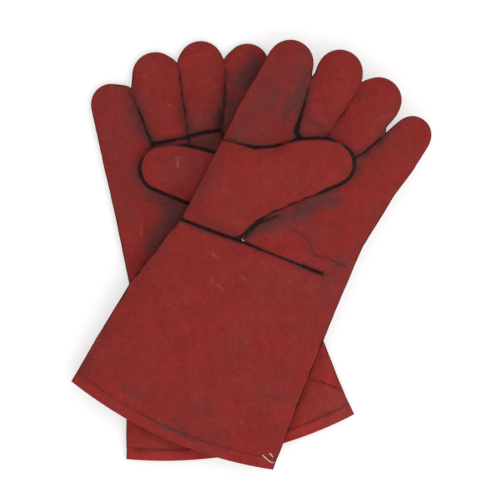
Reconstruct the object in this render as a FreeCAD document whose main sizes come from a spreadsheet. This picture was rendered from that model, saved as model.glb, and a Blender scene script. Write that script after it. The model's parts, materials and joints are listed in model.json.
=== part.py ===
import FreeCAD, Part
import math
import os
import Sketcher

# A pair of leather welding gauntlets, lying palm up, the left one crossed over the right.
# Each glove is drawn in its own frame: y = 0 at the wrist seam, fingers towards +y, little finger
# towards +x, z = 0 at the middle of its thickness. The right glove is the mirror of the left.

doc = FreeCAD.newDocument("WeldingGloves")
sheet = doc.addObject("Spreadsheet::Sheet", "Sizes")

fingers = ("index", "middle", "ring", "little")
ends = ("open", "bow", "dip")

# Sizes that both gloves share, in millimetres.
shared_sizes = {
    "leather": 1.4,
    "cloth": 0.9,
    "lining_gap": 0.5,
    "welt_thick": 1.4,
    "welt_proud": 1.2,
    "depth": 16,
    "thumb_depth": 12,
    "edge_round": 5.5,
    "thumb_round": 4,
    "rest_gap": 0.5,
    "knuckle_gap": 0.6,
    "hem": 10,
    "hem_gap": 0.2,
    "wrist_sunk": 0.5,
    "hole_margin": 5,
    "hole_width": 12,
}

# Sizes of each glove as it lies: left, right.
glove_sizes = {
    "place_x": (12.3, -38.5),
    "place_y": (3.6, -13.6),
    "turn": (-21.1, 12.5),
    "knuckle": (117, 117),
    "index_start": (-67.5, -83),
    "index_width": (52, 40.5),
    "middle_width": (28, 29),
    "ring_width": (35.5, 31),
    "little_width": (42, 45.6),
    "index_crotch": (1.8, 4),
    "middle_crotch": (3.4, 2),
    "ring_crotch": (5, 2.2),
    "index_tip_start": (-38, -74),
    "index_tip_radius": (21.5, 19.5),
    "middle_tip_radius": (20, 19.5),
    "ring_tip_radius": (20, 21),
    "little_tip_radius": (17.5, 17.5),
    "index_spread": (1.4, 1.2),
    "middle_spread": (1.4, 2),
    "ring_spread": (1.6, 5),
    "index_reach": (47, 53),
    "middle_reach": (54.1, 64),
    "ring_reach": (44, 61.5),
    "little_reach": (26.5, 45.5),
    "wrist_radial": (-79.6, -72.5),
    "wrist_ulnar": (79.8, 71.7),
    "root_y": (79, 75),
    "ulnar_x": (84, 71),
    "ulnar_y": (55, 55),
    "thumb_low": (3, 3),
    "thumb_crook_x": (-27.5, -42),
    "thumb_crook_y": (5.5, 27),
    "thumb_tip_x": (28, 20.5),
    "thumb_tip_y": (94, 95.5),
    "thumb_tip_radius": (19, 19.5),
    "thumb_shoulder_x": (-41, -45),
    "thumb_shoulder_y": (83.5, 88),
    "cuff_bend_x": (-101, -90),
    "cuff_bend_y": (-70, -75),
    "mouth_radial_x": (-119.5, -99.1),
    "mouth_radial_y": (-172, -152.5),
    "mouth_ulnar_x": (76.5, 108.4),
    "mouth_ulnar_y": (-179, -152.5),
    "mouth_bow": (10.5, 13.5),
    "finger_droop": (5, 0),
}


def fill_sheet():
    row = 1
    for name, size in shared_sizes.items():
        sheet.set(f"A{row}", name)
        sheet.set(f"B{row}", str(size))
        sheet.setAlias(f"B{row}", name)
        row += 1
    for name, pair in glove_sizes.items():
        sheet.set(f"A{row}", name)
        for column, hand, size in zip("BC", ("left", "right"), pair):
            sheet.set(f"{column}{row}", str(size))
            sheet.setAlias(f"{column}{row}", f"{hand}_{name}")
        row += 1
    doc.recompute()


def number(rule):
    found = sheet.evalExpression(rule)
    return float(getattr(found, "Value", found))


fill_sheet()

leather, cloth = "Sizes.leather", "Sizes.cloth"
depth, thumb_depth = "Sizes.depth", "Sizes.thumb_depth"
edge_round, thumb_round = "Sizes.edge_round", "Sizes.thumb_round"
welt_half = "(Sizes.welt_thick / 2)"
shell_inset = "Sizes.welt_proud"
welt_inset = "(Sizes.welt_proud + Sizes.leather)"
lining_inset = "(Sizes.welt_proud + Sizes.leather + Sizes.lining_gap)"
lining_sunk = "(Sizes.leather + Sizes.lining_gap)"


class Profile:
    """A closed outline: corners in order round it, each with the kind of edge that follows it.

    An edge is "side" (sewn shut), "open", "tip" (a round end between two tangent runs), or an open
    arc that bulges out ("bow") or in ("dip").
    """

    def __init__(self, side, corners, tip=None, bow=None):
        self.side, self.corners, self.tip, self.bow = side, corners, tip, bow

    def point(self, x, y, z=0.0):
        return FreeCAD.Vector(self.side * x, y, z)

    def tangent_point(self, corner, turn):
        """The point where a run from the corner touches the tip's circle."""
        centre_x, centre_y, radius = (number(rule) for rule in self.tip)
        away_x, away_y = centre_x - corner[0], centre_y - corner[1]
        distance = math.hypot(away_x, away_y)
        angle = math.atan2(away_y, away_x) + turn * math.asin(radius / distance)
        run = math.sqrt(distance**2 - radius**2)
        return corner[0] + run * math.cos(angle), corner[1] + run * math.sin(angle)

    def edges(self):
        """Edges as (kind, corner number or None, points): two points for a line, three for an arc."""
        places = [(number(x), number(y)) for x, y, _ in self.corners]
        found = []
        for count, (_, _, kind) in enumerate(self.corners):
            place, following = places[count], places[(count + 1) % len(places)]
            if kind == "tip":
                centre_x, centre_y, radius = (number(rule) for rule in self.tip)
                first, last = self.tangent_point(place, -1), self.tangent_point(following, 1)
                out_x, out_y = (first[0] + last[0]) / 2 - centre_x, (first[1] + last[1]) / 2 - centre_y
                if out_x * (centre_x - place[0]) + out_y * (centre_y - place[1]) < 0:
                    out_x, out_y = -out_x, -out_y
                span = math.hypot(out_x, out_y)
                top = centre_x + radius * out_x / span, centre_y + radius * out_y / span
                found.append(("side", count, [place, first]))
                found.append(("tip", None, [first, top, last]))
                found.append(("side", None, [last, following]))
            elif kind in ("bow", "dip"):
                rise = number(self.bow) if kind == "bow" else -number(self.bow)
                run = following[0] - place[0], following[1] - place[1]
                span = math.hypot(*run)
                middle = ((place[0] + following[0]) / 2 + rise * run[1] / span,
                          (place[1] + following[1]) / 2 - rise * run[0] / span)
                found.append((kind, count, [place, middle, following]))
            else:
                found.append((kind, count, [place, following]))
        return found

    def middles(self, kinds, z):
        """The middle of every edge of the given kinds, at a height in the glove's frame."""
        found = []
        for kind, _, points in self.edges():
            if kind in kinds:
                middle = points[1] if len(points) == 3 else [sum(pair) / 2 for pair in zip(*points)]
                found.append(self.point(*middle, z))
        return found


def bind(sketch, kind, *parts):
    """Adds a dimension whose last part is a rule, and binds it to the sheet."""
    *where, rule = parts
    row = sketch.addConstraint(Sketcher.Constraint(kind, *where, number(rule)))
    sketch.setExpression(f"Constraints[{row}]", rule)


def draw(body, name, profile, height="0"):
    """Draws a profile as a fully dimensioned sketch at a height above the body's XY plane."""
    plane = next(feature for feature in body.Origin.OriginFeatures if feature.Role == "XY_Plane")
    sketch = body.newObject("Sketcher::SketchObject", name)
    sketch.AttachmentSupport = [(plane, "")]
    sketch.MapMode = "FlatFace"
    sketch.setExpression("AttachmentOffset.Base.z", height)
    drawn = []
    for kind, corner, points in profile.edges():
        places = [profile.point(*point) for point in points]
        if len(places) == 2:
            edge = sketch.addGeometry(Part.LineSegment(*places), False)
        else:
            order = -profile.side if kind == "dip" else profile.side
            edge = sketch.addGeometry(Part.Arc(*places[::order]), False)
        forward = sketch.Geometry[edge].StartPoint.distanceToPoint(places[0]) < 1e-6
        drawn.append((kind, corner, edge, 1 if forward else 2, 2 if forward else 1))
    for (kind, _, edge, _, end), (next_kind, _, next_edge, start, _) in zip(drawn, drawn[1:] + drawn[:1]):
        joint = "Tangent" if "tip" in (kind, next_kind) else "Coincident"
        sketch.addConstraint(Sketcher.Constraint(joint, edge, end, next_edge, start))
    for kind, corner, edge, start, _ in drawn:
        if corner is not None:
            x, y, _ = profile.corners[corner]
            bind(sketch, "DistanceX", -1, 1, edge, start, f"{profile.side} * ({x})")
            bind(sketch, "DistanceY", -1, 1, edge, start, y)
        if kind == "tip":
            centre_x, centre_y, radius = profile.tip
            bind(sketch, "DistanceX", -1, 1, edge, 3, f"{profile.side} * ({centre_x})")
            bind(sketch, "DistanceY", -1, 1, edge, 3, centre_y)
            bind(sketch, "Radius", edge, radius)
        if kind in ("bow", "dip"):
            x1, y1, _ = profile.corners[corner]
            x2, y2, _ = profile.corners[(corner + 1) % len(profile.corners)]
            chord = f"((({x2}) - ({x1})) ^ 2 + (({y2}) - ({y1})) ^ 2)"
            bind(sketch, "Radius", edge, f"({chord} / 4 + ({profile.bow}) ^ 2) / (2 * ({profile.bow}))")
    return sketch


def new_body(label, place):
    """An empty piece at its place; AllowCompound lets a welt be two strips."""
    body = doc.addObject("PartDesign::Body", label)
    body.Label = label
    body.AllowCompound = True
    for path, rule in place.items():
        body.setExpression(f"Placement.{path}", rule)
    return body


def thumb_hole(body, outline):
    """Cuts the hole that the thumb is sewn round, through the palm's side of a piece."""
    pocket = body.newObject("PartDesign::Pocket", "Thumb_hole")
    pocket.Profile = draw(body, "Thumb_hole_outline", outline)
    pocket.Reversed = True
    pocket.setExpression("Length", "Sizes.depth")
    doc.recompute()


def names_at(kind, shape, points):
    """Names of the faces or edges of a shape that pass through any of the points."""
    spots = [Part.Vertex(point) for point in points]
    return [f"{kind}{count}" for count, item in enumerate(getattr(shape, f"{kind}s"), 1)
            if any(item.distToShape(spot)[0] < 1e-4 for spot in spots)]


def round_over(body, base, profile, levels, kinds, radius):
    """Rounds the edges above the profile's edges of the given kinds, at the given levels."""
    rounding = body.newObject("PartDesign::Fillet", "Rounding")
    points = [point for level in levels for point in profile.middles(kinds, level)]
    rounding.Base = (base, names_at("Edge", base.Shape, points))
    rounding.setExpression("Radius", radius)
    doc.recompute()
    return rounding


def hollow(body, base, faces, wall):
    """Hollows a solid to a wall, open at the given faces."""
    skin = body.newObject("PartDesign::Thickness", "Wall")
    skin.Base = (base, faces)
    skin.Reversed = True
    skin.setExpression("Value", wall)
    doc.recompute()
    return skin


def half_shell(label, place, profile, up, full_depth, radius):
    """One leather panel: half of a flattened tube, from the seam's plane to its crown."""
    body = new_body(label, place)
    direction = 1 if up else -1
    pad = body.newObject("PartDesign::Pad", "Panel")
    pad.Profile = draw(body, "Outline", profile, f"{direction} * {welt_half}")
    pad.Reversed = not up
    pad.setExpression("Length", f"{full_depth} / 2 - {welt_half}")
    doc.recompute()
    crown, seam = direction * number(full_depth) / 2, direction * number(welt_half)
    rounded = round_over(body, pad, profile, [crown], ("side", "tip"), radius)
    faces = names_at("Face", rounded.Shape, profile.middles(ends, seam + direction * 0.01))
    for count, face in enumerate(rounded.Shape.Faces, 1):
        if all(abs(vertex.Z - seam) < 1e-6 for vertex in face.Vertexes):
            faces.append(f"Face{count}")
    hollow(body, rounded, sorted(set(faces)), leather)
    return body


def sock(label, place, profile, full_depth, radius, sunk, wall):
    """A closed tube sunk below the leather's surface, open where the profile is open."""
    body = new_body(label, place)
    pad = body.newObject("PartDesign::Pad", "Sock")
    pad.Profile = draw(body, "Outline", profile)
    pad.SideType = "Symmetric"
    pad.setExpression("Length", f"{full_depth} - 2 * {sunk}")
    doc.recompute()
    half = number(f"{full_depth} / 2 - {sunk}")
    rounded = round_over(body, pad, profile, [half, -half], ("side", "tip"), f"{radius} - {sunk}")
    faces = names_at("Face", rounded.Shape, profile.middles(ends, 0))
    hollow(body, rounded, faces, wall)
    return body


def welt(label, place, outer, inner):
    """One welt: a flat strip in the seam's plane, from the outer profile to the inner one."""
    body = new_body(label, place)
    pad = body.newObject("PartDesign::Pad", "Strip")
    pad.Profile = draw(body, "Outline", outer)
    pad.SideType = "Symmetric"
    pad.setExpression("Length", "Sizes.welt_thick")
    doc.recompute()
    pocket = body.newObject("PartDesign::Pocket", "Inside")
    pocket.Profile = draw(body, "Inside_outline", inner)
    pocket.SideType = "Symmetric"
    pocket.setExpression("Length", "2 * Sizes.welt_thick")
    doc.recompute()
    return body


class Glove:
    """One gauntlet: its profiles, its places and its pieces."""

    def __init__(self, hand):
        self.hand, self.side = hand, 1 if hand == "left" else -1
        self.base, self.tilt = "0", "0"
        if hand == "left":
            self.base = "(Sizes.depth + Sizes.thumb_depth + 2 * Sizes.rest_gap)"
            reach = f"({self.own('mouth_bow')} - {self.own('mouth_ulnar_y')})"
            self.tilt = f"asin((Sizes.thumb_depth + Sizes.rest_gap) / {reach})"

    def own(self, name):
        return f"Sizes.{self.hand}_{name}"

    def place(self, height):
        return {
            "Base.x": self.own("place_x"),
            "Base.y": self.own("place_y"),
            "Base.z": f"{self.base} + {height}",
            "Rotation.Angle": self.own("turn"),
        }

    def tipped_place(self, pivot, tilt):
        """As place, but tipped about the glove's lower face where y is pivot."""
        turn = self.own("turn")
        shift = f"({pivot} * (1 - cos({tilt})) - Sizes.depth / 2 * sin({tilt}))"
        return {
            "Base.x": f"{self.own('place_x')} - {shift} * sin({turn})",
            "Base.y": f"{self.own('place_y')} + {shift} * cos({turn})",
            "Base.z": f"{self.base} + Sizes.depth / 2 * cos({tilt}) - {pivot} * sin({tilt})",
            "Rotation.Yaw": turn,
            "Rotation.Roll": tilt,
        }

    def cuff_place(self):
        """The cuff sinks from the wrist to what lies under it."""
        return self.tipped_place("0", self.tilt)

    def finger_place(self):
        """The fingers of a raised glove hang down a little from the knuckles."""
        return self.tipped_place(self.own("knuckle"), f"(-1 * {self.own('finger_droop')})")

    def finger_base(self, finger):
        """Rules for where a finger's sides meet the knuckle line."""
        start = self.own("index_start")
        for before in fingers[:fingers.index(finger)]:
            start += f" + {self.own(before + '_width')} + {self.own(before + '_crotch')}"
        return start, f"{start} + {self.own(finger + '_width')}"

    def root_x(self):
        """Where the thumb's root ends on the straight radial side of the hand."""
        wrist = self.own("wrist_radial")
        share = f"{self.own('root_y')} / {self.own('knuckle')}"
        return f"{wrist} + ({self.own('index_start')} - ({wrist})) * {share}"

    def finger_tip(self, finger):
        """Rules for the centre and radius of a finger's round tip."""
        centre = self.own("index_tip_start")
        for before, after in zip(fingers, fingers[1:fingers.index(finger) + 1]):
            centre += (f" + {self.own(before + '_tip_radius')} + {self.own(before + '_spread')}"
                       f" + {self.own(after + '_tip_radius')}")
        reach = f"{self.own('knuckle')} + {self.own(finger + '_reach')}"
        return centre, reach, self.own(f"{finger}_tip_radius")

    def finger_profile(self, finger, inset="0"):
        left, right = self.finger_base(finger)
        centre, reach, radius = self.finger_tip(finger)
        line = f"{self.own('knuckle')} + Sizes.knuckle_gap / 2"
        corners = [(f"{right} - {inset}", line, "tip"), (f"{left} + {inset}", line, "open")]
        return Profile(self.side, corners, tip=(centre, reach, f"{radius} - {inset}"))

    def hand_profile(self, inset="0"):
        radial, ulnar = self.finger_base("index")[0], self.finger_base("little")[1]
        wrist, knuckle = welt_half, f"{self.own('knuckle')} - Sizes.knuckle_gap / 2"
        return Profile(self.side, [
            (f"{self.own('wrist_radial')} + {inset}", wrist, "open"),
            (f"{self.own('wrist_ulnar')} - {inset}", wrist, "side"),
            (f"{self.own('ulnar_x')} - {inset}", self.own("ulnar_y"), "side"),
            (f"{ulnar} - {inset}", knuckle, "open"),
            (f"{radial} + {inset}", knuckle, "side"),
        ])

    def thumb_hole_outline(self):
        """The hole runs along the thumb's root, a margin in from both of its ends."""
        low = f"{self.own('thumb_low')} + Sizes.hole_margin"
        high = f"{self.own('root_y')} - Sizes.hole_margin"
        outside, inside = "- Sizes.hole_margin", "+ Sizes.hole_width"
        wrist, root = self.own("wrist_radial"), self.root_x()
        return Profile(self.side, [
            (f"{wrist} {outside}", low, "side"),
            (f"{wrist} {inside}", low, "side"),
            (f"{root} {inside}", high, "side"),
            (f"{root} {outside}", high, "side"),
        ])

    def thumb_profile(self, inset="0"):
        return Profile(self.side, [
            (self.own("wrist_radial"), f"{self.own('thumb_low')} + {inset}", "side"),
            (f"{self.own('thumb_crook_x')} - {inset} / 2", f"{self.own('thumb_crook_y')} + {inset}", "tip"),
            (self.own("thumb_shoulder_x"), f"{self.own('thumb_shoulder_y')} - {inset}", "side"),
            (self.root_x(), f"{self.own('root_y')} - {inset}", "open"),
        ], tip=(self.own("thumb_tip_x"), self.own("thumb_tip_y"),
                f"{self.own('thumb_tip_radius')} - {inset}"))

    def mouth_corners(self, inset, hem):
        """The two corners of the cuff's mouth, moved up its sides by the hem's height."""
        found = []
        for edge, upper, sign in (("radial", "cuff_bend", "+"), ("ulnar", "wrist_ulnar", "-")):
            x, y = self.own(f"mouth_{edge}_x"), self.own(f"mouth_{edge}_y")
            top_x, top_y = self.own("wrist_ulnar"), "0"
            if edge == "radial":
                top_x, top_y = self.own("cuff_bend_x"), self.own("cuff_bend_y")
            along = f"({top_x} - {x}) * {hem} / ({top_y} - {y})"
            found.append((f"{x} + {along} {sign} {inset}", f"{y} + {hem}"))
        return found

    def cuff_profile(self, inset="0", hem="0"):
        (left_x, left_y), (right_x, right_y) = self.mouth_corners(inset, hem)
        return Profile(self.side, [
            (f"{self.own('wrist_radial')} + {inset}", f"-{welt_half}", "side"),
            (f"{self.own('cuff_bend_x')} + {inset}", self.own("cuff_bend_y"), "side"),
            (left_x, left_y, "bow"),
            (right_x, right_y, "side"),
            (f"{self.own('wrist_ulnar')} - {inset}", f"-{welt_half}", "open"),
        ], bow=self.own("mouth_bow"))

    def hem_profile(self, inset):
        (left_x, left_y), (right_x, right_y) = self.mouth_corners(inset, "0")
        top_left, top_right = self.mouth_corners(inset, "Sizes.hem")
        return Profile(self.side, [
            (*top_left, "side"), (left_x, left_y, "bow"), (right_x, right_y, "side"), (*top_right, "dip"),
        ], bow=self.own("mouth_bow"))

    def wrist_profile(self, inset):
        left, right = f"{self.own('wrist_radial')} + {inset}", f"{self.own('wrist_ulnar')} - {inset}"
        return Profile(self.side, [
            (left, f"-{welt_half}", "open"), (right, f"-{welt_half}", "side"),
            (right, welt_half, "open"), (left, welt_half, "side"),
        ])

    def sides_only(self, inner, first, last):
        """What is cut out of a welt's outline: the inner outline, run out past its two open ends."""
        corners = [(x, y, "side") for x, y, _ in inner.corners]
        past = "(Sizes.hem + Sizes.leather)"
        low = [(corners[first][0], f"{corners[first][1]} - {past} - {self.own('mouth_bow')}", "side"),
               (corners[last][0], f"{corners[last][1]} - {past} - {self.own('mouth_bow')}", "side")]
        return Profile(self.side, corners[:last] + low + corners[last:])

    def tube(self, name, profile, place, full_depth, radius, panels):
        """Two leather panels and the lining inside them."""
        label = f"{self.hand}_{name}"
        found = [half_shell(f"{label}_{panel}", place, profile(shell_inset), up, full_depth, radius)
                 for panel, up in zip(panels, (True, False))]
        lining = profile(lining_inset)
        found.append(sock(f"{label}_lining", place, lining, full_depth, radius, lining_sunk, cloth))
        return found

    def make_fingers(self):
        place = self.finger_place()
        for finger in fingers:
            def profile(inset="0", finger=finger):
                return self.finger_profile(finger, inset)
            self.tube(finger, profile, place, depth, edge_round, ("front", "back"))
            welt(f"{self.hand}_{finger}_welt", place, profile(), profile(welt_inset))

    def make_thumb(self):
        place = self.place("Sizes.depth + Sizes.rest_gap + Sizes.thumb_depth / 2")
        self.tube("thumb", self.thumb_profile, place, thumb_depth, thumb_round, ("outer", "inner"))
        welt(f"{self.hand}_thumb_welt", place, self.thumb_profile(), self.thumb_profile(welt_inset))

    def make_hand(self):
        place = self.place("Sizes.depth / 2")
        palm, _, lining = self.tube("hand", self.hand_profile, place, depth, edge_round, ("palm", "back"))
        for piece in (palm, lining):
            thumb_hole(piece, self.thumb_hole_outline())
        welt(f"{self.hand}_hand_side_welts", place, self.hand_profile(), self.hand_profile(welt_inset))

    def make_cuff(self):
        place = self.cuff_place()
        for name, up in (("front", True), ("back", False)):
            shell = self.cuff_profile(shell_inset)
            half_shell(f"{self.hand}_cuff_{name}", place, shell, up, depth, edge_round)
        lining = self.cuff_profile(lining_inset, "(Sizes.hem + Sizes.lining_gap)")
        sock(f"{self.hand}_cuff_lining", place, lining, depth, edge_round, lining_sunk, cloth)
        hem = self.hem_profile(f"({welt_inset} + Sizes.hem_gap)")
        hem_sunk = "(Sizes.leather + Sizes.hem_gap)"
        sock(f"{self.hand}_cuff_hem", place, hem, depth, edge_round, hem_sunk, leather)
        strips = self.sides_only(self.cuff_profile(welt_inset), 2, 3)
        welt(f"{self.hand}_cuff_side_welts", place, self.cuff_profile(), strips)
        wrist = self.wrist_profile(shell_inset)
        wall = "(Sizes.leather - Sizes.wrist_sunk)"
        flat = self.place("Sizes.depth / 2")
        sock(f"{self.hand}_wrist_welt", flat, wrist, depth, edge_round, "Sizes.wrist_sunk", wall)


for hand in ("left", "right"):
    glove = Glove(hand)
    glove.make_hand()
    glove.make_cuff()
    glove.make_thumb()
    glove.make_fingers()

doc.recompute()
pieces = [item for item in doc.Objects if item.TypeId == "PartDesign::Body"]
for item in doc.Objects:
    if {"Invalid", "Error"} & set(item.State):
        raise RuntimeError(f"{item.Name} failed: {item.State}")
for piece in pieces:
    if piece.Shape.isNull() or not piece.Shape.isValid():
        raise RuntimeError(f"{piece.Label} is not valid")

os.makedirs("parts", exist_ok=True)
for piece in pieces:
    piece.Shape.exportStep(f"parts/{piece.Label}.step")
    print(piece.Label, len(piece.Shape.Solids), round(piece.Shape.Volume))
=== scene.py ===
import json
import math

import bmesh
import bpy
import numpy as np
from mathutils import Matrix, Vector
from mathutils.bvhtree import BVHTree


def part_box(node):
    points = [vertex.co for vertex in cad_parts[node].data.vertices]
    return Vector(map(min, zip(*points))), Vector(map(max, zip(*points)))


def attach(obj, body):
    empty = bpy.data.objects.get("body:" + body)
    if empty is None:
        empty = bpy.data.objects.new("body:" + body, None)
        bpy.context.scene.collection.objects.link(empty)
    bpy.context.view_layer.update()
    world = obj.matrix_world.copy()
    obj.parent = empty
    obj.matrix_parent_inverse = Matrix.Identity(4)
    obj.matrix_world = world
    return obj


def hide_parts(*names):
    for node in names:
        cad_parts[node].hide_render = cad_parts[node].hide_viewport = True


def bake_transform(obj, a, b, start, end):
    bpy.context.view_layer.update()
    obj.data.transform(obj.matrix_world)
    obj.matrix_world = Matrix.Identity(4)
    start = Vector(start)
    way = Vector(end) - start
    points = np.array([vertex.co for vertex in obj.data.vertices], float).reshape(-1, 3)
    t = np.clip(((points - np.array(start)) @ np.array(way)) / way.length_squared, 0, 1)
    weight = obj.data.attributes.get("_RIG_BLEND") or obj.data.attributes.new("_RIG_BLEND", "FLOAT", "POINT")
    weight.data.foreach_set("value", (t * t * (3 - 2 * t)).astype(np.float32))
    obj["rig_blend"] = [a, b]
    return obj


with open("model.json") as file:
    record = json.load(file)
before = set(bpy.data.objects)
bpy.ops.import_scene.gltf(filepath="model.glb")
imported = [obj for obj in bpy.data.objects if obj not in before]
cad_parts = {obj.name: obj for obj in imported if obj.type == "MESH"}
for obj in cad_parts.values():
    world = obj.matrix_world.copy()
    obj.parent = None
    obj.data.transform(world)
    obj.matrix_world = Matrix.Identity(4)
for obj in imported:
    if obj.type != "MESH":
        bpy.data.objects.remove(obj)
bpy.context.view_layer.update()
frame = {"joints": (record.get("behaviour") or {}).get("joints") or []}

joints = {joint["name"]: joint for joint in frame["joints"]}
mm = 0.001


# The two gloves. Each is shaped in its own flat frame, in millimetres: y = 0 at the wrist seam,
# fingers towards +y, little finger towards +x, z = 0 at the middle of its thickness.
glovePair = {
    "left": {
        "side": 1,
        "bases": (-67.7, -14.1, 15.9, 53.0, 98.1),
        "tips": ((-39.2, 164.3, 20.6), (5.2, 172.2, 20.4), (46.4, 161.4, 20.6), (86.0, 143.6, 16.6)),
        "crotches": (156.0, 168.0, 133.0),
        "radial": ((-172.5, -119.4), (-127.3, -112.5), (-69.6, -102.0), (-20.0, -86.5), (0.0, -79.6),
                   (78.6, -71.3), (117.0, -67.7)),
        "ulnar": ((-181.2, 77.2), (-114.4, 77.6), (-41.8, 78.0), (0.0, 78.8), (33.8, 80.4),
                  (57.8, 84.8), (88.2, 90.4), (117.0, 98.1)),
        "mouthBow": 13.0,
        "thumbLow": ((-79.6, -0.6), (-54.0, -0.6), (-30.0, 0.0), (-24.5, 4.0), (-16.0, 22.0),
                     (-6.4, 34.0), (18.7, 57.9)),
        "thumbHigh": ((-71.3, 78.6), (-56.0, 80.0), (-41.3, 81.6), (-26.1, 88.8), (-8.4, 102.4),
                      (8.0, 110.2), (18.0, 112.9)),
        "thumbTip": (28.5, 94.0, 19.0),
    },
    "right": {
        "side": -1,
        "bases": (-84.0, -39.5, -8.0, 24.4, 70.8),
        "tips": ((-74.0, 170.4, 19.6), (-33.6, 181.2, 20.1), (8.3, 179.2, 21.2), (52.6, 163.0, 18.2)),
        "crotches": (178.0, 184.0, 172.0),
        "radial": ((-156.0, -99.8), (-132.0, -94.6), (-89.6, -88.0), (0.0, -72.5), (60.0, -78.0),
                   (117.0, -84.0)),
        "ulnar": ((-151.0, 108.2), (-116.9, 100.6), (-60.0, 87.0), (0.0, 71.7), (60.0, 70.9),
                  (117.0, 70.8)),
        "mouthBow": 15.0,
        "thumbLow": ((-72.5, 1.0), (-58.0, 10.0), (-42.0, 27.0), (-24.0, 44.0), (-8.0, 55.5),
                     (7.0, 64.0)),
        "thumbHigh": ((-79.0, 75.0), (-62.0, 81.0), (-45.0, 88.0), (-27.5, 101.0), (-17.0, 106.5),
                      (-4.0, 112.5), (8.0, 115.6)),
        "thumbTip": (20.5, 97.0, 19.5),
    },
}

fingerNames = ("index", "middle", "ring", "little")

weave = {
    "fingerColumns": 14,     # quads across one finger, and a quarter of the way across the hand
    "fingerRows": 16,
    "tipRows": 8,
    "handRows": 40,
    "cuffRows": 62,
    "thumbColumns": 30,
    "thumbRows": 44,
}
depth = {
    "glove": 6.6,            # half the flattened thickness before it puffs, millimetres
    "thumb": 5.0,
    "limit": 8.4,            # and the most it may be after
    "shoulder": 1.6,         # how gradually it nears that
    "edgeRound": 15.0,       # how far in from the outline a wide panel is still rounding over
    "parting": 20.0,         # how far below the knuckles the hand begins to part into fingers
    "fingerRound": 0.55,     # below 1, a finger is fuller across than a half circle of a sine
    "thumbRound": 16.0,
    "thumbTip": 34.0,        # where the thumb is narrower than this it is thinner too
}


def smooth(t):
    t = np.clip(t, 0.0, 1.0)
    return t * t * (3.0 - 2.0 * t)


def bell(distance, width):
    return np.exp(-(distance / width) ** 2)


class GloveFrame:
    # A glove's own frame, taken from its wrist welt and the axis of its knuckles.
    def __init__(self, hand):
        self.hand, self.shape = hand, glovePair[hand]
        self.side = self.shape["side"]
        across = Vector(joints[f"{hand}_index_curl"]["axis"]).normalized()
        self.across = np.array(across) * self.side
        self.along = np.array((-across.y, across.x, 0.0))
        low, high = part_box(f"{hand}_wrist_welt")
        self.origin = np.array([(least + most) / 2 for least, most in zip(low, high)])
        width = np.interp(0.0, *zip(*self.shape["radial"])) + np.interp(0.0, *zip(*self.shape["ulnar"]))
        self.origin = self.origin - self.across * width / 2 * mm
        self.base = self.origin[2]

    def world(self, points):
        points = np.asarray(points, float)
        return (self.origin + points[:, :1] * mm * self.across + points[:, 1:2] * mm * self.along
                + points[:, 2:3] * mm * np.array((0.0, 0.0, 1.0)))


def addGrid(mesh, columns, rows, place, panel, layer):
    # A grid whose vertex (column, row) is put where place() says, with its faces marked as one panel.
    made = bmesh.ops.create_grid(mesh, x_segments=columns, y_segments=rows, size=0.5)["verts"]
    for vert in made:
        vert.co = place(round((vert.co.x + 0.5) * columns), round((vert.co.y + 0.5) * rows))
    for face in {face for vert in made for face in vert.link_faces}:
        face[layer] = panel
        face.smooth = True


def crowd(count, pull):
    # Fractions from 0 to 1 that crowd towards both ends.
    even = np.linspace(0.0, 1.0, count + 1)
    return (1 - pull) * even + pull * (1 - np.cos(math.pi * even)) / 2


def edgeX(points, y):
    return float(np.interp(y, *zip(*points)))


def rounding(distance, reach):
    return math.sqrt(max(0.0, 1 - (1 - min(max(distance, 0.0) / reach, 1.0)) ** 2))


def mouthY(shape, share):
    # How far along the glove its mouth is, at a share of the way across.
    low, high = shape["radial"][0][0], shape["ulnar"][0][0]
    return low + (high - low) * share - shape["mouthBow"] * 4 * share * (1 - share)


def onward(point, distance, angle):
    return point[0] + distance * math.cos(angle), point[1] + distance * math.sin(angle)


def sewnUp(mesh):
    # Joins the grids of a skin where they meet.
    bmesh.ops.remove_doubles(mesh, verts=mesh.verts, dist=0.02)
    bmesh.ops.dissolve_degenerate(mesh, dist=0.005, edges=mesh.edges)
    bmesh.ops.recalc_face_normals(mesh, faces=mesh.faces)
    return mesh


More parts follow.
